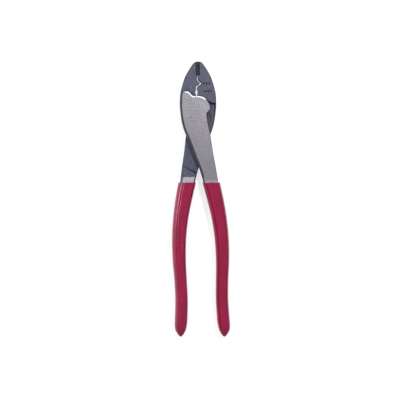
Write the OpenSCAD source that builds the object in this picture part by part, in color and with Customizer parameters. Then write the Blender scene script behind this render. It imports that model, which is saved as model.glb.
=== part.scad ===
// Crimping and cutting pliers: two forged halves that cross in a riveted lap joint, with dipped grips.
// The tool lies flat. The pivot is the Z axis, the nose points to +Y and the rear face lies on z = 0.
// Both halves are built in one frame, the front half's: its jaw is at -X, its lap plate is on top and its
// handle runs to +X. Half a turn about the middle of the tool's Y axis then makes the back half.

/* [Joint] */
// Thickness across the two lap plates
joint_t = 12.7; // [12:0.1:14]
// Radius of the round boss on each lap plate
boss_r = 11; // [10.8:0.1:11.2]
// Radius of the rivet's shank
rivet_r = 4; // [3:0.1:4.5]
// Radius of the rivet's countersunk heads, at the faces
rivet_head_r = 6.2; // [5.5:0.1:6.5]
// Depth of the rivet's countersunk heads
rivet_head_t = 2.2; // [1.5:0.1:3]

/* [Jaws] */
// Thickness of the jaws where they meet the joint
jaw_t = 9.5; // [8.5:0.1:11]
// Thickness of the jaws at the tip of the nose
nose_t = 7.5; // [6:0.1:8.5]
// Where the nose's gripping channel starts, ahead of the pivot
channel_y = 29.7; // [29:0.1:34]
// Half the width of the gripping channel
channel_w = 1.95; // [1:0.05:2.4]
// Thickness of the gripping web that the channels leave
web_t = 3.6; // [2:0.1:5]

/* [Handles] */
// Lean of both handles from the head's axis, in degrees
handle_lean = 1.29; // [0:0.01:1.5]
// Thickness of the shanks where the grips start
shank_t = 10; // [9:0.1:11]
// Thickness of the dipped coating
coat_t = 1.4; // [1:0.1:1.8]
// Where the grips start, behind the pivot
grip_y = 67.4; // [67:0.1:68]

/* [Hidden] */

plate_gap = 0.1;     // between the lap faces
turn_gap = 0.3;      // between a boss and the other half's shoulder
running_gap = 0.05;  // round the rivet, in the half that turns on it
close_gap = 0.1;     // between the gripping faces of the closed nose
core_gap = 0.02;     // between a tang and its coating
mid = joint_t / 2;
lean_y = -19.4;      // the handles lean from here
shank_end_y = -67;
wide = 60;           // longer than any half is wide
taper_y = 16;        // the jaws thin from here to the nose
tip_y = 42.5;        // the very tip of the nose
land_y = 29.4;       // the nose's flat land runs from here to the tip
steel = "dimgray";
vinyl = "firebrick";

// ---- Curves ----

// A smooth curve through p, with n steps between one point and the next.
function spline(p, n = 4) = [
    for (i = [0 : len(p) - 2], k = [0 : n - 1])
        let (a = p[max(i - 1, 0)], b = p[i], c = p[i + 1], d = p[min(i + 2, len(p) - 1)], t = k / n)
        b + 0.5 * t * (c - a + t * (2 * a - 5 * b + 4 * c - d + t * (3 * b - a - 3 * c + d))),
    p[len(p) - 1]
];

// A cubic curve from a to d, pulled towards b and c.
function bezier(a, b, c, d, n = 10) = [
    for (k = [0 : n])
        let (t = k / n, s = 1 - t)
        s * s * s * a + 3 * s * s * t * b + 3 * s * t * t * c + t * t * t * d
];

// Handle points lean to +X as they run down the handle; sign is -1 for the back half.
function lean(p, sign) = [for (q = p) [q.x + sign * tan(handle_lean) * max(0, lean_y - q.y), q.y]];

// ---- Outlines of a half, seen from its plate's side ----

// Where the step up to the plate and the jaw's shoulder meet the outer side.
step_outer = [-15.6, 15.1];
shoulder_outer = [-16.4, 4.6];

// The half's one long side: from the nose, past the joint, and down the inner edge of the shank.
side = spline([
    [-0.5, 42.4], [-2.8, 41.8], [-4.8, 39.9], [-8.2, 34.7], [-12, 27.5], step_outer, shoulder_outer,
    [-16, -2.5], [-14.6, -12.6], [-12.3, -20.6], [-9, -28.4], [-5.8, -37.4], [-2.5, -46.5], [0.5, -54.6],
    [4, shank_end_y]
]);
jaw_side = [for (p = side) if (p.y >= shoulder_outer.y) p];
plate_side = [for (i = [len(side) - 1 : -1 : 0]) if (side[i].y <= step_outer.y) side[i]];

// The step from the jaw up to the plate, which sweeps down into the boss.
plate_step = bezier([-9.8, 15.1], [-6.8, 15.1], [-6.4, 9.9], [-1.6, 10.7]);

// The plate's other side: the notch under the boss and the outer edge of the shank.
boss_corner = [10.95, -1];
notch = [7.9, -4.6];
shank_side = spline([
    notch, [8.2, -9.4], [10, -18.6], [11.5, -28], [13.1, -40.1], [15.1, -52], [17.2, shank_end_y]
]);

// Where the shank swells back to its full thickness, past the crossing.
swell_outer = [15.4, -51.4];
swell_inner = [1.5, -60.15];

// The jaw's shoulder curves in from its outer side to the boss.
shoulder = bezier(shoulder_outer, [-12.5, 5], [-9.6, 6.2], [-7.2, 8.4], 6);

nose_x = -0.3;  // the plane on which the jaws meet

// Crimping edges, from the nose down. The front jaw has the indenter, and the back jaw the nest for it.
indenter = [
    [-0.95, 27.4], [-1.05, 25.9], [-0.35, 24.8], [1, 23.6],
    [1.6, 22.6], [0.9, 21.5], [-0.8, 20.6], [-1.9, 19.9]
];
nest = [
    [-0.35, 27.4], [-0.2, 25.9], [0.5, 24.9], [2.1, 23.6],
    [2.95, 22.5], [2.4, 21.5], [1, 20.6], [-0.45, 19.8]
];
// The two halves of the oval nest below, down to the boss.
oval_left = spline([
    [-1.85, 18.8], [-1.75, 17.4], [-2.4, 15.7], [-2.55, 14.6], [-2.2, 13.2], [-1.8, 11.6], [-1.75, 9]
], 3);
oval_right = spline([
    [-0.95, 18.8], [-0.9, 17.4], [-0.4, 15.7], [-0.3, 14.6], [-0.45, 13.2], [-0.85, 11.6], [-0.9, 9]
], 3);

function mirrored(p) = [for (q = p) [-q.x, q.y]];

// Each jaw's meeting edge, whole: the nose's flat land, then the crimping edges.
function land(sign) = let (x = sign * nose_x - close_gap / 2) [[x, tip_y], [x, land_y]];
function edge(sign) =
    concat(land(sign), sign > 0 ? concat(indenter, oval_left) : mirrored(concat(nest, oval_right)));

// ---- The steel halves: sign is 1 for the front one, and -1 for the back one ----

// Everything inside a side view, given as [y, z] points.
module side_view(p) {
    rotate([90, 0, 90]) translate([0, 0, -wide / 2]) linear_extrude(wide) polygon(p);
}

module prism(p, low, high) {
    translate([0, 0, low]) linear_extrude(high - low) polygon(p);
}

// The jaw tapers to the nose. Under the plate it is turned away to clear the other half's boss.
module jaw(sign) {
    meeting = edge(sign);
    back_up = [for (i = [len(meeting) - 1 : -1 : 0]) meeting[i]];
    under_boss = [-3, 8];
    past_tip = tip_y + 2.5;
    profile = [
        [-boss_r, mid - jaw_t / 2], [taper_y, mid - jaw_t / 2], [past_tip, mid - nose_t / 2],
        [past_tip, mid + nose_t / 2], [taper_y, mid + jaw_t / 2], [-boss_r, mid + jaw_t / 2]
    ];
    difference() {
        intersection() {
            prism(concat(jaw_side, shoulder, [under_boss], back_up), 0, joint_t);
            side_view(profile);
        }
        translate([0, 0, -1]) cylinder(r = boss_r + turn_gap, h = mid + plate_gap / 2 + 1, $fn = 96);
        // The gripping channel is cut into both faces and leaves a web between them.
        for (z = [mid + web_t / 2, mid - web_t / 2 - joint_t])
            translate([sign * nose_x - channel_w, channel_y, z]) cube([2 * channel_w, 20, joint_t]);
    }
}

// The lap plate and the shank. The plate is level over the joint and then slopes down towards the grip.
module plate(sign) {
    low = mid - shank_t / 2;
    ahead_y = 30;
    slope_y = -12;
    inside_boss = [[0, 9], [7, 0]];
    profile = [
        [ahead_y, low], [ahead_y, joint_t], [slope_y, joint_t],
        [shank_end_y, mid + shank_t / 2], [shank_end_y, low]
    ];
    crossing = lean([
        [-wide, wide], [wide, wide], [wide, swell_outer.y], swell_outer, swell_inner, [-wide, swell_inner.y]
    ], sign);
    difference() {
        intersection() {
            union() {
                prism(lean(concat(plate_side, plate_step, inside_boss, shank_side), sign), 0, joint_t);
                intersection() {
                    cylinder(r = boss_r, h = joint_t, $fn = 96);
                    prism([[0, 0], notch, boss_corner, [14, -1], [14, 14], [-4, 14]], 0, joint_t);
                }
            }
            side_view(profile);
        }
        // Ahead of the swell only the upper half is left, to lie on the other half.
        prism(crossing, -1, mid + plate_gap / 2);
    }
}

// A shallow relief in the lap face, round at its foot and pointed at its head.
module relief() {
    depth = 1.2;
    foot = [-9.7, -10.2, mid];
    foot_r = 2.7;
    head = [-0.3, 7.4];
    translate(foot) {
        cylinder(r = foot_r, h = depth, $fn = 48);
        linear_extrude(depth) polygon([[-2.65, 0.5], head, [2.5, 1]]);
    }
}

module rivet_hole(gap) {
    translate([0, 0, -1]) cylinder(r = rivet_r + gap, h = joint_t + 2, $fn = 64);
    translate([0, 0, joint_t - rivet_head_t])
        cylinder(r1 = rivet_r + gap, r2 = rivet_head_r + gap, h = rivet_head_t, $fn = 64);
}

module half(sign, gap) {
    difference() {
        union() {
            jaw(sign);
            plate(sign);
            tang(sign);
        }
        relief();
        rivet_hole(gap);
    }
}

// ---- Handles: rings of [y, centre, half width, half thickness] ----

handle = [
    [-grip_y, 10.95, 8, 6.25], [-82.5, 14.35, 7.6, 6.25], [-100.6, 17.55, 6.95, 6.2],
    [-118.6, 19.25, 6.5, 6.05], [-136.7, 19.5, 6.1, 5.85], [-154.7, 18.7, 5.75, 5.65],
    [-172.7, 18.25, 5.75, 5.55], [-190.8, 19.05, 5.8, 5.4]
];
stations = spline(handle, 3);
// The rounded end of the grip, and the nub that the dipping leaves.
grip_end = [
    [-196.2, 19.5, 5.5, 5], [-199.8, 19.75, 4.8, 4.3], [-201.8, 19.75, 3.8, 3.4], [-203.6, 19.7, 2.7, 2.5],
    [-205, 19.7, 1.5, 1.4], [-205.7, 19.7, 0.6, 0.6]
];
tang_end = [-196.2, 19.5, 3.9, 3.4];

ring_n = 20;
corner_n = ring_n / 4;

// A rounded rectangle across the handle, shrunk by inset.
function ring(s, inset, sign) =
    let (w = s[2] - inset, h = s[3] - inset)
    let (r = max(0.62 * min(w, h) - 0.5 * inset, 0.3), c = lean([[s[1], s[0]]], sign)[0])
    [
        for (q = [0 : 3], k = [0 : corner_n - 1])
            let (a = 90 * q + 90 * k / (corner_n - 1))
            let (x = (q == 0 || q == 3) ? w - r : r - w, z = q < 2 ? h - r : r - h)
            [c.x + x + r * cos(a), s[0], mid + z + r * sin(a)]
    ];

// Faces between ring a and ring b, which lies further down the handle. They look outwards.
function band(a, b) = [
    for (k = [0 : ring_n - 1])
        let (m = (k + 1) % ring_n)
        [b * ring_n + k, b * ring_n + m, a * ring_n + m, a * ring_n + k]
];

// A face that closes ring a, looking up the handle or down it.
function cap_up(a) = [for (k = [0 : ring_n - 1]) a * ring_n + k];
function cap_down(a) = [for (k = [ring_n - 1 : -1 : 0]) a * ring_n + k];

// The same rings under the coating, down to the tang's blunt end.
core = concat(stations, [tang_end + [0, 0, coat_t, coat_t]]);

// The steel inside the grip. It starts inside the shank.
module tang(sign) {
    rings = concat([[shank_end_y + 4, 10.1, 7.9, 6.2]], core);
    last = len(rings) - 1;
    points = [for (s = rings) each ring(s, coat_t + core_gap, sign)];
    sides = [for (i = [0 : last - 1]) each band(i, i + 1)];
    polyhedron(points, concat([cap_up(0)], sides, [cap_down(last)]));
}

// The dipped coating: a closed sleeve over the tang.
module grip(sign) {
    outer = concat(stations, grip_end);
    n = len(outer);
    m = n + len(core);
    points = concat([for (s = outer) each ring(s, 0, sign)], [for (s = core) each ring(s, coat_t, sign)]);
    polyhedron(points, concat(
        [for (i = [0 : n - 2]) each band(i, i + 1)],
        [cap_down(n - 1)],
        [for (i = [n : m - 2]) each band(i + 1, i)],
        [cap_up(m - 1)],
        band(n, 0)
    ), convexity = 8);
}

// ---- The five pieces, in place ----

// Turns something from the shared frame of the halves to the back half's place.
module to_back() {
    translate([0, 0, joint_t]) rotate([0, 180, 0]) children();
}

module front_half() {
    color(steel) half(1, running_gap);
}

module back_half() {
    color(steel) to_back() half(-1, 0);
}

// Headed at both ends and ground flush. It is fast in the back half, and the front half turns on it.
module rivet() {
    color("silver") {
        cylinder(r = rivet_r, h = joint_t, $fn = 64);
        translate([0, 0, joint_t - rivet_head_t])
            cylinder(r1 = rivet_r, r2 = rivet_head_r, h = rivet_head_t, $fn = 64);
        cylinder(r1 = rivet_head_r, r2 = rivet_r, h = rivet_head_t, $fn = 64);
    }
}

module front_grip() {
    color(vinyl) grip(1);
}

module back_grip() {
    color(vinyl) to_back() grip(-1);
}

front_half();
back_half();
rivet();
front_grip();
back_grip();
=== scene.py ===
"""Crimping and cutting pliers on a pale floor, seen square-on from above.

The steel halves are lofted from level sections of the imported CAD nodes, and the grips from their rings, so
their outlines are the CAD's own. Shapes are worked out in millimetres and turned into metres at the end.
Both halves are built with the lap plate on top, as the front half lies. The back half is then turned over.
"""

import math

import bmesh
import bpy
import numpy as np
from mathutils import Matrix, Vector


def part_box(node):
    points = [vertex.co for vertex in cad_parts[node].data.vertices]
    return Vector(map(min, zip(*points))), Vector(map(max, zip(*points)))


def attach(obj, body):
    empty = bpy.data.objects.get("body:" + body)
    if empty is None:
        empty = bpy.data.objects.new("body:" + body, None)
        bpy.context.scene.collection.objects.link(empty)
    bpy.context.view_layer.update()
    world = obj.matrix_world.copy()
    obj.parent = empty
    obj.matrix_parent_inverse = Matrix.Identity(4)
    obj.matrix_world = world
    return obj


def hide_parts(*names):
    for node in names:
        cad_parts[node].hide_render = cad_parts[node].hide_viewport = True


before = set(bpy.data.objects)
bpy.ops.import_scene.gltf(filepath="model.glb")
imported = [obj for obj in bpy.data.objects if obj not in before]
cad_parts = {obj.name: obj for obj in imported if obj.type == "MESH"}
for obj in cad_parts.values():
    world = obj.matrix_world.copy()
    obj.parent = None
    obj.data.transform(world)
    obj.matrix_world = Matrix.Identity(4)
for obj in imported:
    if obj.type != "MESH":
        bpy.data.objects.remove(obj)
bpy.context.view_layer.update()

# ---- Sizes, in millimetres ----

MM = 0.001
JOINT_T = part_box("rivet")[1].z / MM     # thickness across both lap plates
MID = JOINT_T / 2
RIVET_HEAD_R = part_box("rivet")[1].x / MM
RIVET_HEAD_T = 2.2
RIVET_R = RIVET_HEAD_R - RIVET_HEAD_T
JAW_T = 9.5
NOSE_T = 7.5
JAW_LEVEL_Y = 16                        # the jaws are level up to here, then taper to the nose
NOSE_Y = 45
PLATE_LEVEL_Y = -12                     # the ground faces are level down to here, then slope to the grips
MOUTH_Y = -67                           # where the grips start
SHANK_T = 10                            # thickness of the shanks at the grips
PLATE_FALL = (JOINT_T - MID - SHANK_T / 2) / (PLATE_LEVEL_Y - MOUTH_Y)     # for each mm further down
LAP_GAP = 0.05                          # from the middle to each lap face
FORGED_R = 2.1                          # the plate's round edge, where it is left as forged
BEVEL_W, BEVEL_D = 0.8, 0.6             # the bright bevel along the step
# The bevel's bright paint stops where the highlight along the step faded, so it is partly a painted
# highlight.
BEVEL_FROM, BEVEL_TO = -13.6, 7.4       # where the bevel starts and ends, in x
SWEEPS = [(3.2, 0.13), (1.5, 0.42)]     # the grinder's sweeps along the step: width and depth
RAMP = 2.2                              # the most that the ramp up to the full shank runs back
CREST_STEPS = 20                        # along the ramp's crest
STEEL_END_Y = -71                       # the steel runs on this far into the grips
NOSE_X = -0.3                           # the plane on which the jaws meet
CHANNEL_W = 1.95                        # half the width of the gripping channel
CHANNEL_Y = 29.7                        # where the channel starts
CHANNEL_LENGTH = 20                     # it runs out past the tip
RELIEF_FOOT, RELIEF_R = (-9.7, -10.2), 2.7      # the round end of the relief in the lap face
RELIEF_HEAD = (-10, -2.7)               # and its point
DOT_R = 1.0                             # punched dots on the back jaw
DOTS = [(-x, y) for y, xs in ((22.4, (5.2, 7.6, 10.0)), (15.4, (6.8, 9.2, 11.6))) for x in xs]
LAND_Y = 29.4                           # the nose's flat land starts here
TOOTH_PITCH, TOOTH_H = 1.1, 0.22        # the land's fine teeth
TOOTH_GAP = 0.035                       # the teeth stand this far out of the land
WEB_T = 3.6                             # thickness of the gripping web between the channels
WEB_LEVEL = MID - 1                     # a level that cuts the web and the clearance for the other boss
PLATE_LEVEL = 11.25                     # a level that cuts the lap plate above the jaw

OUTLINE_STEP = 0.7                      # longest side of an outline
CORNER = math.radians(28)               # an outline turns sharply where it turns by more than this
STRAIGHT = math.radians(0.4)            # and runs straight where it turns by less than this
NEAR = 0.01                             # between points that are drawn together
SAME = 1e-6                             # between points that are one point

# The materials of a steel half, in the order of its list
BLACKENED, GROUND, BEVELLED, RECESSED, RIM = range(5)


# ---- Outlines ----

def turns(points):
    """How far a closed outline turns at each point, in radians."""
    before = points - np.roll(points, 1, axis=0)
    after = np.roll(points, -1, axis=0) - points
    cross = before[:, 0] * after[:, 1] - before[:, 1] * after[:, 0]
    return np.arctan2(cross, (before * after).sum(axis=1))


def section(node, level):
    """The closed outlines, in mm, in which a level plane cuts a CAD node."""
    bm = bmesh.new()
    bm.from_mesh(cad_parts[node].data)
    bm.transform(Matrix.Scale(1 / MM, 4))
    bmesh.ops.remove_doubles(bm, verts=bm.verts, dist=1e-4)
    bmesh.ops.bisect_plane(
        bm, geom=[*bm.verts, *bm.edges, *bm.faces], plane_co=(0, 0, level), plane_no=(0, 0, 1),
        clear_inner=True, clear_outer=True,
    )
    outlines = []
    todo = set(bm.edges)
    while todo:
        edge = min(todo, key=lambda e: e.index)
        todo.discard(edge)
        start, at = edge.verts
        loop = [start]
        while at is not start:
            loop.append(at)
            edge = next(e for e in at.link_edges if e in todo)
            todo.discard(edge)
            at = edge.other_vert(at)
        outlines.append(np.array([v.co.xy for v in loop]))
    bm.free()
    return [plain(points) for points in outlines]


def plain(points):
    """An outline without doubled points or points on a straight run, anticlockwise."""
    far = np.linalg.norm(points - np.roll(points, 1, axis=0), axis=1) > NEAR
    points = points[far]
    points = points[np.abs(turns(points)) > STRAIGHT]
    return points if turns(points).sum() > 0 else points[::-1]


def clip(points, y, above=True):
    """The part of an outline above (or below) a line of constant y."""
    side = 1 if above else -1
    out = []
    for a, b in zip(points, np.roll(points, -1, axis=0)):
        if side * (a[1] - y) >= 0:
            out.append(a)
        if (a[1] - y) * (b[1] - y) < 0:
            out.append(a + (b - a) * (y - a[1]) / (b[1] - a[1]))
    return np.array(out)


def curve(points, step):
    """A smooth open curve through points, in steps of about the given length."""
    ends = [2 * points[0] - points[1], *points, 2 * points[-1] - points[-2]]
    out = [points[0]]
    for p0, p1, p2, p3 in zip(ends, ends[1:], ends[2:], ends[3:]):
        d0, d1, d2 = (math.sqrt(np.linalg.norm(b - a)) for a, b in ((p0, p1), (p1, p2), (p2, p3)))
        m1 = p2 - p1 + d1 * ((p1 - p0) / d0 - (p2 - p0) / (d0 + d1))
        m2 = p2 - p1 + d1 * ((p3 - p2) / d2 - (p3 - p1) / (d1 + d2))
        count = max(1, math.ceil(np.linalg.norm(p2 - p1) / step))
        for t in np.linspace(0, 1, count + 1)[1:]:
            out.append(
                (2 * t**3 - 3 * t**2 + 1) * p1 + (t**3 - 2 * t**2 + t) * m1
                + (3 * t**2 - 2 * t**3) * p2 + (t**3 - t**2) * m2
            )
    return np.array(out)


def arcs(points, *corners_at):
    """An outline as smooth open arcs between its corners, each ending where the next one starts."""
    sharp = np.abs(turns(points)) > CORNER
    for place in corners_at:
        sharp[np.linalg.norm(points - place, axis=1).argmin()] = True
    corners = np.flatnonzero(sharp)
    ring = np.roll(points, -corners[0], axis=0)
    marks = [*(corners - corners[0]), len(points)]
    ring = np.vstack([ring, ring[:1]])
    return [curve(ring[a:b + 1], OUTLINE_STEP) for a, b in zip(marks, marks[1:])]


def joined(parts):
    """Arcs as one closed outline."""
    return np.vstack([part[:-1] for part in parts])


def is_on(points, x, y):
    """Whether x, y is one of the points."""
    return np.linalg.norm(points - [x, y], axis=1).min() < SAME


def beside(points, distance):
    """An open curve moved sideways to its right, without the loops that form inside tight bends."""
    along = np.gradient(points, axis=0)
    along /= np.linalg.norm(along, axis=1)[:, None]
    moved = points + distance * np.column_stack([along[:, 1], -along[:, 0]])
    nearest = np.linalg.norm(moved[:, None] - points[None], axis=2).min(axis=1)
    slack = 0.97                        # a point in a loop is nearer to the curve than this share
    return moved[nearest > slack * distance]


def stretch_below(points, a, b):
    """The stretch of a closed outline on the right of the line from a to b, from line to line."""
    side = (points - a) @ [b[1] - a[1], a[0] - b[0]]
    first = next(k for k in range(len(points)) if side[k - 1] < 0 <= side[k])
    points, side = np.roll(points, -first, axis=0), np.roll(side, -first)
    count = int(np.argmax(side < 0))

    def crossing(k, m):
        return points[k] + (points[m] - points[k]) * side[k] / (side[k] - side[m])

    return np.vstack([crossing(-1, 0), points[:count], crossing(count - 1, count)])


def inwards(points):
    """The way in from each point of a closed outline, longer at a corner to keep an inset's width."""
    after = np.roll(points, -1, axis=0) - points
    after /= np.linalg.norm(after, axis=1)[:, None]
    normals = np.stack([-after[:, 1], after[:, 0]], axis=1)
    before = np.roll(normals, 1, axis=0)
    middle = normals + before
    middle /= np.linalg.norm(middle, axis=1)[:, None]
    return middle / np.maximum((middle * normals).sum(axis=1), 0.6)[:, None]


# ---- Solids ----

def mesh_object(name, verts, faces):
    mesh = bpy.data.meshes.new(name)
    mesh.from_pydata([tuple(v) for v in verts], [], faces)
    mesh.update()
    obj = bpy.data.objects.new(name, mesh)
    bpy.context.scene.collection.objects.link(obj)
    return obj


def loft(name, rings):
    """A closed solid through rings of equally many points, each an array of [x, y, z], lowest first."""
    n = len(rings[0])
    faces = [tuple(range(n - 1, -1, -1))]
    for k in range(len(rings) - 1):
        for i in range(n):
            j = (i + 1) % n
            faces.append((k * n + i, k * n + j, (k + 1) * n + j, (k + 1) * n + i))
    faces.append(tuple(range((len(rings) - 1) * n, len(rings) * n)))
    return mesh_object(name, np.vstack(rings), faces)


def slab(name, points, low, high, low_rim, high_rim, steps=5):
    """A solid between two levels, with a rim round each face.

    A rim gives each edge point its width, its depth and its flatness, where 0 is round and 1 a chamfer.
    """
    way = inwards(points)
    rings = []
    for level, rim, up in ((low, low_rim, 1), (high, high_rim, -1)):
        sizes = eased(np.array([rim(*p) for p in points]))
        for t in (np.linspace(1, 0, steps) if up > 0 else np.linspace(0, 1, steps)):
            inset = (1 - math.cos(t * math.pi / 2)) * (1 - sizes[:, 2]) + t * sizes[:, 2]
            drop = (1 - math.sin(t * math.pi / 2)) * (1 - sizes[:, 2]) + (1 - t) * sizes[:, 2]
            flat = untangled(points + way * (inset * sizes[:, 0])[:, None], points)
            rings.append(np.column_stack([flat, level + up * drop * sizes[:, 1]]))
    return loft(name, rings)


def untangled(flat, points, reach=7):
    """An inset outline whose points don't cross over one another at the sharp corners of the outline."""
    n = len(points)
    for c in np.flatnonzero(turns(points) > CORNER):
        for way in (1, -1):
            along = points[(c + way) % n] - points[c]
            along = along / np.linalg.norm(along)
            for k in range(1, reach):
                i = (c + way * k) % n
                if (flat[i] - flat[c]) @ along > k * NEAR:
                    break
                flat[i] = flat[c] + along * k * NEAR
    return flat


def eased(sizes, reach=2):
    """Rim sizes averaged with their neighbours', so that one rim runs smoothly into the next."""
    return sum(np.roll(sizes, k, axis=0) for k in range(-reach, reach + 1)) / (2 * reach + 1)


def lathe(name, profile, segments=96):
    """A solid of revolution about Z from [radius, z] pairs, lowest first."""
    angles = np.linspace(0, 2 * math.pi, segments, endpoint=False)
    rings = []
    for r, z in profile:
        rings.append(np.column_stack([r * np.cos(angles), r * np.sin(angles), np.full(segments, z)]))
    return loft(name, rings)


def place(obj, x=0.0, y=0.0, z=0.0):
    obj.data.transform(Matrix.Translation((x, y, z)))
    return obj


def reshape(obj, change, split_y=None):
    """Moves every vertex to change(x, y, z). Faces are first cut along split_y, so that they stay flat."""
    bm = bmesh.new()
    bm.from_mesh(obj.data)
    if split_y is not None:
        bmesh.ops.bisect_plane(
            bm, geom=[*bm.verts, *bm.edges, *bm.faces], plane_co=(0, split_y, 0), plane_no=(0, 1, 0)
        )
    for v in bm.verts:
        v.co = change(*v.co)
    bm.to_mesh(obj.data)
    bm.free()
    return obj


def combine(target, operation, *tools):
    """Joins tools to the target solid, or cuts them out of it."""
    for tool in tools:
        step = target.modifiers.new("step", "BOOLEAN")
        step.operation = operation
        step.solver = "MANIFOLD"
        step.object = tool
        apply_modifiers(target)
        bpy.data.objects.remove(tool)
    return target


def apply_modifiers(obj):
    bpy.context.view_layer.update()
    done = bpy.data.meshes.new_from_object(obj.evaluated_get(bpy.context.evaluated_depsgraph_get()))
    obj.modifiers.clear()
    obj.data = done


# ---- A steel half ----

def no_rim(x, y):
    """Hardly any rim, for an edge that is hidden or cut off, or that stays sharp."""
    return 0.15, 0.15, 0.5


def teeth(y):
    """The gripping land's fine teeth. Both jaws follow the same wave, so that they mesh."""
    return TOOTH_H * (2 * abs((y / TOOTH_PITCH) % 1 - 0.5) - 0.5)


def jaw_share(y):
    """The jaw's thickness at y, as a share of its full thickness."""
    return 1 + max(0, (y - JAW_LEVEL_Y) / (NOSE_Y - JAW_LEVEL_Y)) * (NOSE_T / JAW_T - 1)


def jaw_low(y):
    """The level of the jaw's lower face."""
    return MID - JAW_T / 2 * jaw_share(y)


def jaw(node, sign):
    """The jaw and the shoulder under it, with fine teeth along the gripping land."""
    outline = max(half_sections(node, WEB_LEVEL), key=lambda p: p[:, 1].max())
    land_x = sign * NOSE_X - LAP_GAP
    tip_y = outline[:, 1].max()
    parts = arcs(outline, [land_x, LAND_Y], [land_x, tip_y])
    for k, part in enumerate(parts):
        if np.abs(np.sort(part[[0, -1], 1]) - [LAND_Y, tip_y]).max() < 0.1:
            way = int(np.sign(part[-1][1] - part[0][1]))
            ys = np.arange(LAND_Y + TOOTH_PITCH / 2, tip_y - 0.9, TOOTH_PITCH / 4)[::way]
            middle = [[land_x + TOOTH_GAP + sign * teeth(y), y] for y in ys]
            parts[k] = np.array([part[0], *middle, part[-1]])
    outline = joined(parts)

    def rim(x, y):
        on_shoulder = y < 11.6 and x > -11.5 or y < 8.4 and x > -15.9
        on_outer_edge = x < -3 or y > 41.6
        on_land = y > LAND_Y - 0.8
        if on_shoulder:
            return 0.3, 0.3, 0.2
        if on_outer_edge:
            return 1.25, 1.1, 0
        if on_land:
            return 0.12, 0.12, 0.5
        if sign < 0:
            width = 0.95 if y > 19.6 else 0.7
            return width, 1.7, 0.6      # the nests open out towards both faces
        return 0.4, 0.8, 0.6

    body = slab("jaw", outline, jaw_low(0), MID + JAW_T / 2, rim, rim)
    return reshape(body, lambda x, y, z: (x, y, MID + (z - MID) * jaw_share(y)), JAW_LEVEL_Y)


def half_sections(node, level):
    """Sections of a steel half in the frame in which its plate is on top."""
    if node == "front_half":
        return section(node, level)
    return [plain(points * [-1, 1]) for points in section(node, JOINT_T - level)]


def run_into_grip(points):
    """Carries a shank's two sides on below the grip's mouth."""
    points = clip(points, MOUTH_Y + 0.3)
    out = []
    for k, p in enumerate(points):
        out.append(p)
        follows = points[(k + 1) % len(points)]
        if abs(p[1] - follows[1]) < 1e-3 and p[1] < MOUTH_Y + 1:
            for end, inner in ((p, points[k - 1]), (follows, points[(k + 2) % len(points)])):
                slope = (end[0] - inner[0]) / (end[1] - inner[1])
                out.append(np.array([end[0] + slope * (STEEL_END_Y - end[1]), STEEL_END_Y]))
    return np.array(out)


def slope_plate(x, y, z):
    """The ground face slopes from the joint's level to the shank's thickness at the grip."""
    share = (z - MID) / (JOINT_T - MID)
    return x, y, z - share * PLATE_FALL * max(0, PLATE_LEVEL_Y - y)


def plate(node):
    """The lap plate and the shank's upper half, with its outline and the curve of the step up to it."""
    outline = max(half_sections(node, PLATE_LEVEL), key=lambda p: np.ptp(p[:, 1]))
    parts = arcs(run_into_grip(outline))
    outline = joined(parts)
    left = next(p for p in parts if p[:, 1].min() < MOUTH_Y and p[:, 1].max() > 10)
    upper = sorted((p for p in parts if p[:, 1].max() > 10 and p is not left), key=lambda p: -p[0][0])
    step_edge = np.vstack([upper[0], *(p[1:] for p in upper[1:])])

    def high_rim(x, y):
        if is_on(left, x, y) or x < BEVEL_FROM:
            return FORGED_R, FORGED_R, 0
        if is_on(step_edge, x, y):
            return (BEVEL_W, BEVEL_D, 0.9) if x < BEVEL_TO else (0.4, 0.4, 0.6)
        on_boss = y > -5
        return (0.6, 0.5, 0.8) if on_boss else (0.4, 0.4, 0.5)

    def low_rim(x, y):
        beside_joint = is_on(left, x, y) and -24 < y < 5
        width = max(0.3, -x - 13.2)     # widest where the plate stands out the most
        return (width, 0.45 * width, 0.5) if beside_joint else (0.3, 0.3, 0.3)

    body = slab("plate", outline, MID + LAP_GAP, JOINT_T, low_rim, high_rim)
    return reshape(body, slope_plate, PLATE_LEVEL_Y), outline, step_edge


def swell(node, outline):
    """The lower half of the shank past the crossing. A ramp leads up to it from the lap face."""
    lower = min(half_sections(node, WEB_LEVEL), key=lambda p: p[:, 1].min())
    top = lower[:, 1].argmax()
    sides = stretch_below(outline, lower[(top + 1) % len(lower)], lower[top])
    crest = np.linspace(sides[-1], sides[0], CREST_STEPS)[1:-1]
    ring = np.vstack([sides, crest])
    middle = sides.mean(axis=0)

    def rim(x, y):
        from_ends = min(np.linalg.norm(sides[end] - [x, y]) for end in (0, -1))
        on_outer_side = x > middle[0] + 0.3 * (middle[1] - y)
        if is_on(crest, x, y) and from_ends > 1.5:
            return 0.3, 0.3, 0.3
        return (2.2, 2.2, 0) if on_outer_side else (1.3, 1.3, 0)

    low = MID - SHANK_T / 2
    overlap = 1.2                       # into the plate above
    body = slab("swell", ring, low, MID + overlap, rim, no_rim)
    # The crest runs back with height, which makes the ramp, and the more so towards the sides' start.
    shares = np.zeros(len(ring))
    shares[len(sides):] = np.linspace(0, 1, CREST_STEPS)[1:-1]
    shares[0] = 1
    up_side = (sides[0] - sides[1]) / np.linalg.norm(sides[0] - sides[1])
    for v in body.data.vertices:
        run = RAMP * shares[v.index % len(ring)] * (v.co.z - low) / (MID - low)
        v.co.xy += Vector(up_side) * run
    return body


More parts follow.
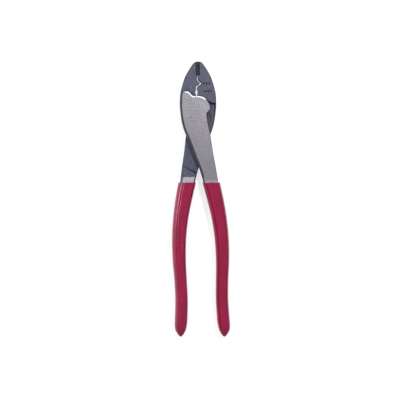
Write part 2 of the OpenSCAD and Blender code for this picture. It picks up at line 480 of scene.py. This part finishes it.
def build_half(node, sign):
    """A steel half with its plate on top. The sign is 1 for the front half and -1 for the back half."""
    plate_body, outline, step_edge = plate(node)
    body = jaw(node, sign)
    # Two shallow sweeps of the grinder run along the step, outside the bevel.
    outside_x = -22
    for width, depth in SWEEPS:
        edge = beside(step_edge, width)
        sweep = np.vstack([edge, [[outside_x, edge[-1][1]], [outside_x, 0], [0, 0]]])
        floor_z = MID + JAW_T / 2 - depth
        cutter = slab("sweep", sweep, floor_z, floor_z + 3, lambda x, y: (0.4, 0.35, 0), no_rim)
        reshape(cutter, lambda x, y, z: (x, y, z + jaw_low(0) - jaw_low(y)), JAW_LEVEL_Y)
        combine(body, "DIFFERENCE", cutter)
    combine(body, "UNION", plate_body, swell(node, outline))

    for z in (MID + WEB_T / 2, MID - WEB_T / 2 - JOINT_T):
        corners = np.array([[-1, 0], [1, 0], [1, 1], [-1, 1]]) * [CHANNEL_W, CHANNEL_LENGTH]
        channel = slab("channel", corners + [sign * NOSE_X, CHANNEL_Y], z, z + JOINT_T, no_rim, no_rim)
        combine(body, "DIFFERENCE", channel)

    # The countersunk hole that the rivet fills, with a hairline round it.
    hair = 0.04
    hole = lathe("hole", [
        [RIVET_R, -1], [RIVET_R + hair, JOINT_T - RIVET_HEAD_T],
        [RIVET_HEAD_R + hair, JOINT_T], [RIVET_HEAD_R + hair, JOINT_T + 1],
    ])
    combine(body, "DIFFERENCE", hole)

    # A teardrop relief in the lap face: an arc, and two tangents to its pointed head.
    angles = np.radians(np.linspace(161, 383, 30))
    foot = np.array(RELIEF_FOOT) + RELIEF_R * np.column_stack([np.cos(angles), np.sin(angles)])
    drop = np.vstack([foot, RELIEF_HEAD])
    relief = slab("relief", drop, MID - 1, MID + LAP_GAP + 1.1, no_rim, lambda x, y: (0.5, 0.5, 0))
    combine(body, "DIFFERENCE", relief)

    # Small punched dots on the back jaw's far face stand for its markings.
    if sign < 0:
        for x, y in DOTS:
            bowl = [[DOT_R + 0.1, -1], [DOT_R, -0.05], [0.7 * DOT_R, 0.35], [0.02, 0.5]]
            combine(body, "DIFFERENCE", place(lathe("dot", bowl, 24), x, y, jaw_low(y)))
    paint_half(body, sign, step_edge)
    return body


def paint_half(obj, sign, step_edge):
    """Gives each face of a half its material, by where it lies and which way it looks."""
    obj.data.materials.clear()
    for face in obj.data.polygons:
        x, y, z = face.center
        plate_top = JOINT_T - PLATE_FALL * max(0, PLATE_LEVEL_Y - y)
        from_step = np.linalg.norm(step_edge - [x, y], axis=1).min()
        in_channel = y > CHANNEL_Y and abs(x - sign * NOSE_X) < CHANNEL_W + 0.1
        in_dot = sign < 0 and min(math.hypot(x - a, y - b) for a, b in DOTS) < DOT_R + 0.05
        if face.normal.z > 0.99 and z > plate_top - 0.04:
            face.material_index = GROUND
        elif face.normal.z > 0.1 and z > plate_top - BEVEL_D:
            # The bright bevel copy goes only where the highlight showed; the rest of these faces take the
            # darker rim copy as painted shade.
            on_bevel = from_step < BEVEL_W + 0.25 and BEVEL_FROM < x < BEVEL_TO
            face.material_index = BEVELLED if on_bevel else RIM
        # The channel and the dots take the near-black oxide copy: painted shade in the hollows.
        elif in_channel and abs(z - MID) < NOSE_T / 2 - 0.1:
            face.material_index = RECESSED
        elif in_dot and jaw_low(y) + 0.02 < z < MID:
            face.material_index = RECESSED
        # Faces that look sideways take the darker rim copy: rougher scale and painted shade.
        elif abs(face.normal.z) < 0.97:
            face.material_index = RIM


def finish_piece(obj, name, body, nodes, materials, smooth_angle=32):
    """Turns a finished solid into a piece of the model, in metres."""
    bm = bmesh.new()
    bm.from_mesh(obj.data)
    bmesh.ops.remove_doubles(bm, verts=bm.verts, dist=2 * NEAR)
    bmesh.ops.dissolve_degenerate(bm, edges=bm.edges, dist=NEAR)
    bm.to_mesh(obj.data)
    bm.free()
    obj.name = name
    obj.data.name = name
    obj.data.transform(Matrix.Scale(MM, 4))
    for made in materials:
        obj.data.materials.append(made)
    for face in obj.data.polygons:
        face.use_smooth = True
    obj.data.set_sharp_from_angle(angle=math.radians(smooth_angle))
    weighted = obj.modifiers.new("normals", "WEIGHTED_NORMAL")
    weighted.keep_sharp = True
    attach(obj, body)
    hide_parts(*nodes)


# ---- Materials: all work in millimetres, in the frame of the tool ----

class Material:
    """A Principled material under construction. Its methods add nodes and give their output sockets."""

    def __init__(self, name, **values):
        self.data = bpy.data.materials.new(name)
        self.data.use_nodes = True
        self.tree = self.data.node_tree
        self.shader = self.tree.nodes["Principled BSDF"]
        for key, value in values.items():
            self.shader.inputs[key.replace("_", " ")].default_value = value
        place = self.tree.nodes.new("ShaderNodeTexCoord").outputs["Object"]
        self.place = self.add("VectorMath", "Vector", {"operation": "SCALE"}, Vector=place, Scale=1 / MM)

    def add(self, kind, output, settings=None, **inputs):
        node = self.tree.nodes.new("ShaderNode" + kind)
        for key, value in (settings or {}).items():
            setattr(node, key, value)
        for key, value in inputs.items():
            self.put(node.inputs[key.replace("_", " ")], value)
        return node.outputs[output]

    def put(self, socket, value):
        if isinstance(value, bpy.types.NodeSocket):
            self.tree.links.new(value, socket)
        else:
            socket.default_value = value

    def math(self, operation, *values):
        node = self.tree.nodes.new("ShaderNodeMath")
        node.operation = operation
        for socket, value in zip(node.inputs, values):
            self.put(socket, value)
        return node.outputs[0]

    def stretched(self, x, y, z):
        """The place in the tool, scaled by these factors."""
        return self.add("Mapping", "Vector", Vector=self.place, Scale=(x, y, z))

    def noise(self, place, scale, detail=3.0, roughness=0.5):
        return self.add("TexNoise", "Fac", Vector=place, Scale=scale, Detail=detail, Roughness=roughness)

    def blend(self, a, share_a, b, share_b):
        """Two values added up, each times its share."""
        return self.math("ADD", self.math("MULTIPLY", a, share_a), self.math("MULTIPLY", b, share_b))

    def band(self, value, low, high, to_low=0.0, to_high=1.0):
        """A value carried from low..high to to_low..to_high, and held at the ends."""
        return self.add(
            "MapRange", "Result", {"interpolation_type": "SMOOTHSTEP"},
            Value=value, From_Min=low, From_Max=high, To_Min=to_low, To_Max=to_high,
        )

    def mix(self, share, a, b):
        """Colour a, turning into colour b as the share goes from 0 to 1."""
        node = self.tree.nodes.new("ShaderNodeMix")
        node.data_type = "RGBA"
        for socket, value in zip((node.inputs[0], node.inputs[6], node.inputs[7]), (share, a, b)):
            self.put(socket, value)
        return node.outputs[2]

    def edges(self, radius):
        """1 on the convex and concave edges within about a radius in mm, and 0 on flat faces."""
        round_normal = self.add("Bevel", "Normal", {"samples": 6}, Radius=radius * MM)
        flat_normal = self.add("NewGeometry", "Normal")
        along = self.add("VectorMath", "Value", {"operation": "DOT_PRODUCT"}, Vector=round_normal)
        self.put(along.node.inputs[1], flat_normal)
        return self.band(along, 0.995, 0.93)

    def relief(self, height, strength, distance):
        bump = self.add("Bump", "Normal", Height=height, Strength=strength, Distance=distance * MM)
        self.put(self.shader.inputs["Normal"], bump)

    def finish(self, **inputs):
        for key, value in inputs.items():
            self.put(self.shader.inputs[key.replace("_", " ")], value)
        return self.data


def rgb(red, green, blue):
    """A colour given as it shows on screen, from 0 to 255."""
    def linear(value):
        value /= 255
        return value / 12.92 if value <= 0.04045 else ((value + 0.055) / 1.055) ** 2.4
    return linear(red), linear(green), linear(blue), 1


def etched_bars(m):
    """Generic faint bars of graded length on the front face, where the tool has its etched mark."""
    bars, pitch = 6, 3.1
    middle_x, low_y = -4.0, -13.0
    x, y, z = (m.add("SeparateXYZ", axis, Vector=m.place) for axis in "XYZ")
    rows = m.math("DIVIDE", m.math("SUBTRACT", y, low_y), pitch)
    row = m.math("FLOOR", rows)
    off_row = m.math("ABSOLUTE", m.math("SUBTRACT", m.math("FRACT", rows), 0.5))
    grade = m.math("MODULO", m.math("ADD", row, 1.0), 3.0)
    half_length = m.math("ADD", 2.4, m.math("MULTIPLY", grade, 1.5))
    off_middle = m.math("ABSOLUTE", m.math("SUBTRACT", x, middle_x))
    in_row = m.band(off_row, 0.13, 0.09)
    in_length = m.band(m.math("SUBTRACT", off_middle, half_length), 0.1, -0.1)
    in_stack = m.math("MULTIPLY", m.math("GREATER_THAN", row, -0.5), m.math("LESS_THAN", row, bars - 0.5))
    in_stack = m.math("MULTIPLY", in_stack, m.math("GREATER_THAN", z, MID))
    worn = m.band(m.noise(m.place, 1.6, 4), 0.36, 0.6, 0.25, 1.0)
    return m.math("MULTIPLY", m.math("MULTIPLY", in_row, in_length), m.math("MULTIPLY", in_stack, worn))


def forged_oxide(name="black oxide", shade=1.0, most_wear=0.5):
    """Blackened forging scale: uneven, slightly pitted, worn to bare steel along its edges."""
    m = Material(name, Metallic=0.25, IOR=1.5)
    cloudy = m.noise(m.place, 0.5, 5, 0.62)
    grain = m.noise(m.place, 1.9, 4, 0.65)
    pits = m.noise(m.place, 5.5, 2)
    # A shade below 1 makes a darker copy, used as painted shade on the rims and in the hollows.
    dark = [c * shade for c in rgb(52, 54, 70)[:3]] + [1]
    light = [c * shade for c in rgb(74, 76, 95)[:3]] + [1]
    colour = m.mix(m.band(m.blend(cloudy, 0.6, grain, 0.4), 0.36, 0.64), dark, light)
    rubbed = m.edges(0.35)
    patches = m.band(m.noise(m.place, 0.8, 5, 0.7), 0.46, 0.62, 0.0, most_wear)
    colour = m.mix(m.math("MULTIPLY", rubbed, patches), colour, rgb(168, 166, 170))
    # Just above the grips the scale is ground off the flat faces, up to a ragged line.
    y = m.add("SeparateXYZ", "Y", Vector=m.place)
    ragged = m.math("ADD", y, m.math("MULTIPLY", m.noise(m.place, 0.7, 3), 3.2))
    bare = m.band(ragged, -60.2, -60.5)
    face_z = m.math("ABSOLUTE", m.add("SeparateXYZ", "Z", Vector=m.add("NewGeometry", "True Normal")))
    bare = m.math("MULTIPLY", bare, m.band(face_z, 0.975, 0.995))
    colour = m.mix(bare, colour, m.mix(grain, rgb(112, 111, 119), rgb(178, 175, 183)))
    rough = m.band(grain, 0.3, 0.7, 0.42, 0.62)
    m.relief(m.blend(grain, 0.7, pits, 0.3), 0.35, 0.09)
    return m.finish(Base_Color=colour, Roughness=rough)


def ground_steel(name="ground steel", bars=False):
    """Bare ground steel: a fine mottle, faint streaks along the tool, small rubbed edges, and painted shade
    that darkens it towards the grips.
    """
    m = Material(name, Metallic=1.0)
    mottle = m.noise(m.stretched(1, 0.7, 1), 0.85, 5, 0.7)
    streaks = m.noise(m.stretched(4.5, 0.22, 1), 1.0, 3, 0.6)
    wide = m.noise(m.place, 0.09, 2)
    tone = m.math("ADD", m.blend(mottle, 0.55, streaks, 0.3), m.math("MULTIPLY", wide, 0.15))
    colour = m.mix(m.band(tone, 0.36, 0.64), rgb(124, 121, 127), rgb(158, 155, 162))
    colour = m.mix(m.math("MULTIPLY", m.edges(0.25), 0.5), colour, rgb(238, 238, 242))
    # A paler strip just above the grips, and painted shade that darkens the face down to them.
    y = m.add("SeparateXYZ", "Y", Vector=m.place)
    bare = m.band(m.math("ADD", y, m.noise(m.place, 0.8, 2)), -64.2, -64.7)
    colour = m.mix(m.math("MULTIPLY", bare, 0.2), colour, rgb(240, 240, 246))
    colour = m.mix(m.band(y, 8, -66, 0.0, 0.25), colour, rgb(60, 58, 66))
    if bars:
        colour = m.mix(m.math("MULTIPLY", etched_bars(m), 0.7), colour, rgb(112, 92, 80))
    fine = m.noise(m.stretched(9, 0.5, 1), 1.0, 2)
    m.relief(m.blend(mottle, 0.5, fine, 0.5), 0.25, 0.03)
    return m.finish(Base_Color=colour, Roughness=m.band(tone, 0.36, 0.64, 0.5, 0.38))


def bevel_polish_and_highlight():
    """The freshly ground bevel along the step, brighter than the faces: partly real polish, partly painted
    highlight.
    """
    m = Material("bright bevel with painted highlight", Metallic=1.0)
    lines = m.noise(m.stretched(3, 3, 9), 1.0, 3)
    return m.finish(
        Base_Color=m.mix(lines, rgb(186, 186, 192), rgb(214, 214, 219)),
        Roughness=m.band(lines, 0.3, 0.7, 0.24, 0.36),
    )


def dipped_vinyl():
    """Soft plastisol: an uneven crimson skin with a low gloss, a few pale scuffs and fine dimples."""
    m = Material("dipped vinyl", Specular_IOR_Level=0.48)
    cloudy = m.noise(m.stretched(1, 0.25, 1), 0.16, 4, 0.6)
    fine = m.noise(m.place, 2.6, 3)
    colour = m.mix(m.band(cloudy, 0.34, 0.66), rgb(121, 0, 44), rgb(134, 0, 55))
    marks = m.noise(m.stretched(1.0, 0.35, 1), 0.75, 1)
    scuffs = m.math("MULTIPLY", m.band(marks, 0.735, 0.775), m.band(m.noise(m.place, 3.2, 3), 0.42, 0.6))
    colour = m.mix(m.math("MULTIPLY", scuffs, 0.55), colour, rgb(214, 130, 150))
    rubbed = m.math("MULTIPLY", m.edges(0.5), 0.12)
    colour = m.mix(rubbed, colour, rgb(196, 84, 112))
    m.relief(m.blend(cloudy, 0.85, fine, 0.15), 0.2, 0.1)
    return m.finish(Base_Color=colour, Roughness=m.band(fine, 0.3, 0.7, 0.15, 0.23))


oxide = forged_oxide()
# The near-black copy darkens the oxide in the channel and the dots: painted shade in these hollows.
oxide_and_hollow_shade = forged_oxide("oxide with painted shade in the recesses", 0.14, 0.0)
# The rim copy is the rougher forged scale, darkened further as painted shade on the rims and sides.
rim_scale_and_shade = forged_oxide("scale on the rims with painted shade", 0.42)
ground = ground_steel()
ground_etched = ground_steel("ground steel with etched bars", bars=True)
bevel = bevel_polish_and_highlight()
vinyl = dipped_vinyl()

# ---- The steel halves ----

front = build_half("front_half", 1)
back = build_half("back_half", -1)
turn_over = Matrix.Translation((0, 0, JOINT_T)) @ Matrix.Rotation(math.pi, 4, "Y")
back.data.transform(turn_over)
front_materials = [oxide, ground_etched, bevel, oxide_and_hollow_shade, rim_scale_and_shade]
back_materials = [oxide, ground, bevel, oxide_and_hollow_shade, rim_scale_and_shade]
finish_piece(front, "front_forging", "front", ["front_half"], front_materials)
finish_piece(back, "back_forging", "back", ["back_half"], back_materials)

# ---- The rivet ----

edge_w, edge_h = 0.08, 0.06             # the broken edge of each head
rivet = lathe("rivet", [
    [RIVET_HEAD_R - edge_w, 0], [RIVET_HEAD_R, edge_h], [RIVET_R, RIVET_HEAD_T],
    [RIVET_R, JOINT_T - RIVET_HEAD_T], [RIVET_HEAD_R, JOINT_T - edge_h], [RIVET_HEAD_R - edge_w, JOINT_T],
])
finish_piece(rivet, "flush_rivet", "back", ["rivet"], [ground_etched])


# ---- The dipped grips ----

def stations(node):
    """Down a CAD grip: [y, centre x, half width, half thickness] of each of its rings, in mm."""
    co = np.array([v.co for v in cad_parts[node].data.vertices]) / MM
    rows = []
    for y in sorted({round(v, 2) for v in co[:, 1]}, reverse=True):
        ring = co[np.abs(co[:, 1] - y) < NEAR]
        low, high = ring.min(axis=0), ring.max(axis=0)
        rows.append([y, (low[0] + high[0]) / 2, (high[0] - low[0]) / 2, (high[2] - low[2]) / 2])
    return np.array(rows)


def grip_quarter(w, h, share, groove):
    """From a grip's side up to the middle of its face: a sloping side, a groove along it, and a flat.

    The side takes up a share of the half width. Towards the end the section grows round and plain.
    """
    roundness = min(1, max(0, (5.5 - w) / 4))
    side = (share + (0.7 - share) * roundness) * w
    depth = groove * (1 - roundness) ** 2
    power = 2 / 2.3 + 0.28 * (share - 0.35) / 0.25      # a wide side slopes in a straighter line
    quarter = [
        [w - side + side * math.cos(t) ** power, h * math.sin(t) ** power]
        for t in np.linspace(0, math.pi / 2, 10)
    ]
    crease = min(0.55, 0.1 * w)         # half the width of the groove
    flat = w - side - 2 * crease
    crown = 0.03                        # the flat rises this much to its middle
    quarter += [[w - side - crease, h - depth], [flat, h - crown]]
    return np.array(quarter + [[flat * u, h - crown + crown * (1 - u)] for u in (0.75, 0.5, 0.25)])


def grip_section(w, h, left, right):
    """Across a grip, anticlockwise, from the share and groove of its left side and of its right side."""
    right, left = grip_quarter(w, h, *right), grip_quarter(w, h, *left)
    half = np.vstack([right, [[0, h]], left[::-1] * [-1, 1]])
    return np.vstack([half, half[1:-1][::-1] * [1, -1]])


def grip(node, left, right):
    """A dipped sleeve, from a rolled lip with a slightly wavy edge down to its round end."""
    rows = curve(stations(node), 1.3)
    count = len(grip_section(8, 6, left, right))
    angles = np.linspace(0, 2 * math.pi, count, endpoint=False)

    def ring(row, inset, y_shift=0.0):
        y, x, w, h = row
        across = grip_section(w, h, left, right) * [(w - inset) / w, (h - inset) / h]
        return np.column_stack([x + across[:, 0], np.full(count, y) + y_shift, MID + across[:, 1]])

    first = rows[0]
    deep = [STEEL_END_Y + 0.5, *first[1:]]
    wave = 0.18 * np.sin(2 * angles + 0.6) + 0.1 * np.sin(5 * angles)
    lip_r, lip_h = 0.75, 0.6
    foot = 0.1                          # the lip starts this far up
    lip = [ring(deep, 2 * lip_r), ring(first, 2 * lip_r, foot + wave)]
    for turn in np.radians([15, 45, 75, 105, 135, 165]):
        lip.append(ring(first, lip_r + lip_r * math.cos(turn), foot + lip_h * math.sin(turn) + wave))
    body = [ring(row, 0.0, wave * max(0, 1 - k / 6)) for k, row in enumerate(rows)]
    return loft(node, [*lip, *body])


# The share and the groove of each grip's left side, then of its right side. The left grooves are deep.
GRIP_SIDES = {"front": ((0.36, 0.65), (0.42, 0.08)), "back": ((0.58, 0.4), (0.3, 0.08))}
for side, (left, right) in GRIP_SIDES.items():
    sleeve = grip(side + "_grip", left, right)
    finish_piece(sleeve, side + "_dipped_grip", side, [side + "_grip"], [vinyl], 40)


# ---- Camera, lights and floor ----

CAMERA_DISTANCE = 2.5                   # in metres, as all the sizes from here on
VIEW_WIDTH = 0.3608
SENSOR_WIDTH = 36                       # in mm, as the lens
FLOOR_Z = -0.1 * MM
FLOOR_HALF = 3
centre = Vector((1.8 * MM, -82.5 * MM, MID * MM))
camera = bpy.data.objects.new("camera", bpy.data.cameras.new("camera"))
bpy.context.scene.collection.objects.link(camera)
camera.location = centre + Vector((0, 0, CAMERA_DISTANCE))
camera.data.sensor_width = SENSOR_WIDTH
camera.data.lens = SENSOR_WIDTH * CAMERA_DISTANCE / VIEW_WIDTH
camera.data.clip_end = 20
bpy.context.scene.camera = camera

floor_paint = Material(
    "floor", Base_Color=(0.35, 0.35, 0.35, 1), Roughness=0.9, Specular_IOR_Level=0.0,
    Emission_Color=(1, 1, 1, 1), Emission_Strength=0.72,
)
corners = [(x * FLOOR_HALF, y * FLOOR_HALF, FLOOR_Z) for x, y in ((-1, -1), (1, -1), (1, 1), (-1, 1))]
floor = mesh_object("floor", corners, [(0, 1, 2, 3)])
floor.data.materials.append(floor_paint.data)


def area_light(name, width, height, place, power, colour=(1, 1, 1)):
    """A rectangular lamp at a place from the centre of the view, aimed at that centre."""
    lamp = bpy.data.lights.new(name, "AREA")
    lamp.shape = "RECTANGLE"
    lamp.size = width
    lamp.size_y = height
    lamp.energy = power
    lamp.color = colour
    obj = bpy.data.objects.new(name, lamp)
    bpy.context.scene.collection.objects.link(obj)
    obj.location = centre + Vector(place)
    obj.rotation_euler = (-Vector(place)).to_track_quat("-Z", "Y").to_euler()


area_light("key", 0.08, 0.08, (0.31, 0.3, 0.75), 4.4)
area_light("far", 0.9, 0.25, (0.32, 0.68, 0.27), 3.0)
area_light("left", 0.62, 0.2, (-0.72, 0.3, 0.47), 4.2, (0.92, 0.95, 1))

# The studio is brightest on the left and fades to black on the right.
world = bpy.data.worlds.new("studio")
bpy.context.scene.world = world
world.use_nodes = True
sky = world.node_tree.nodes
direction = sky.new("ShaderNodeTexCoord").outputs["Generated"]
split = sky.new("ShaderNodeSeparateXYZ")
fade = sky.new("ShaderNodeMapRange")
for key, value in {"From Min": -1, "From Max": 1, "To Min": 1.1, "To Max": 0.0}.items():
    fade.inputs[key].default_value = value
world.node_tree.links.new(direction, split.inputs["Vector"])
world.node_tree.links.new(split.outputs["X"], fade.inputs["Value"])
world.node_tree.links.new(fade.outputs["Result"], sky["Background"].inputs["Strength"])
sky["Background"].inputs["Color"].default_value = (0.98, 0.98, 1, 1)
bpy.context.scene.view_settings.view_transform = "Standard"
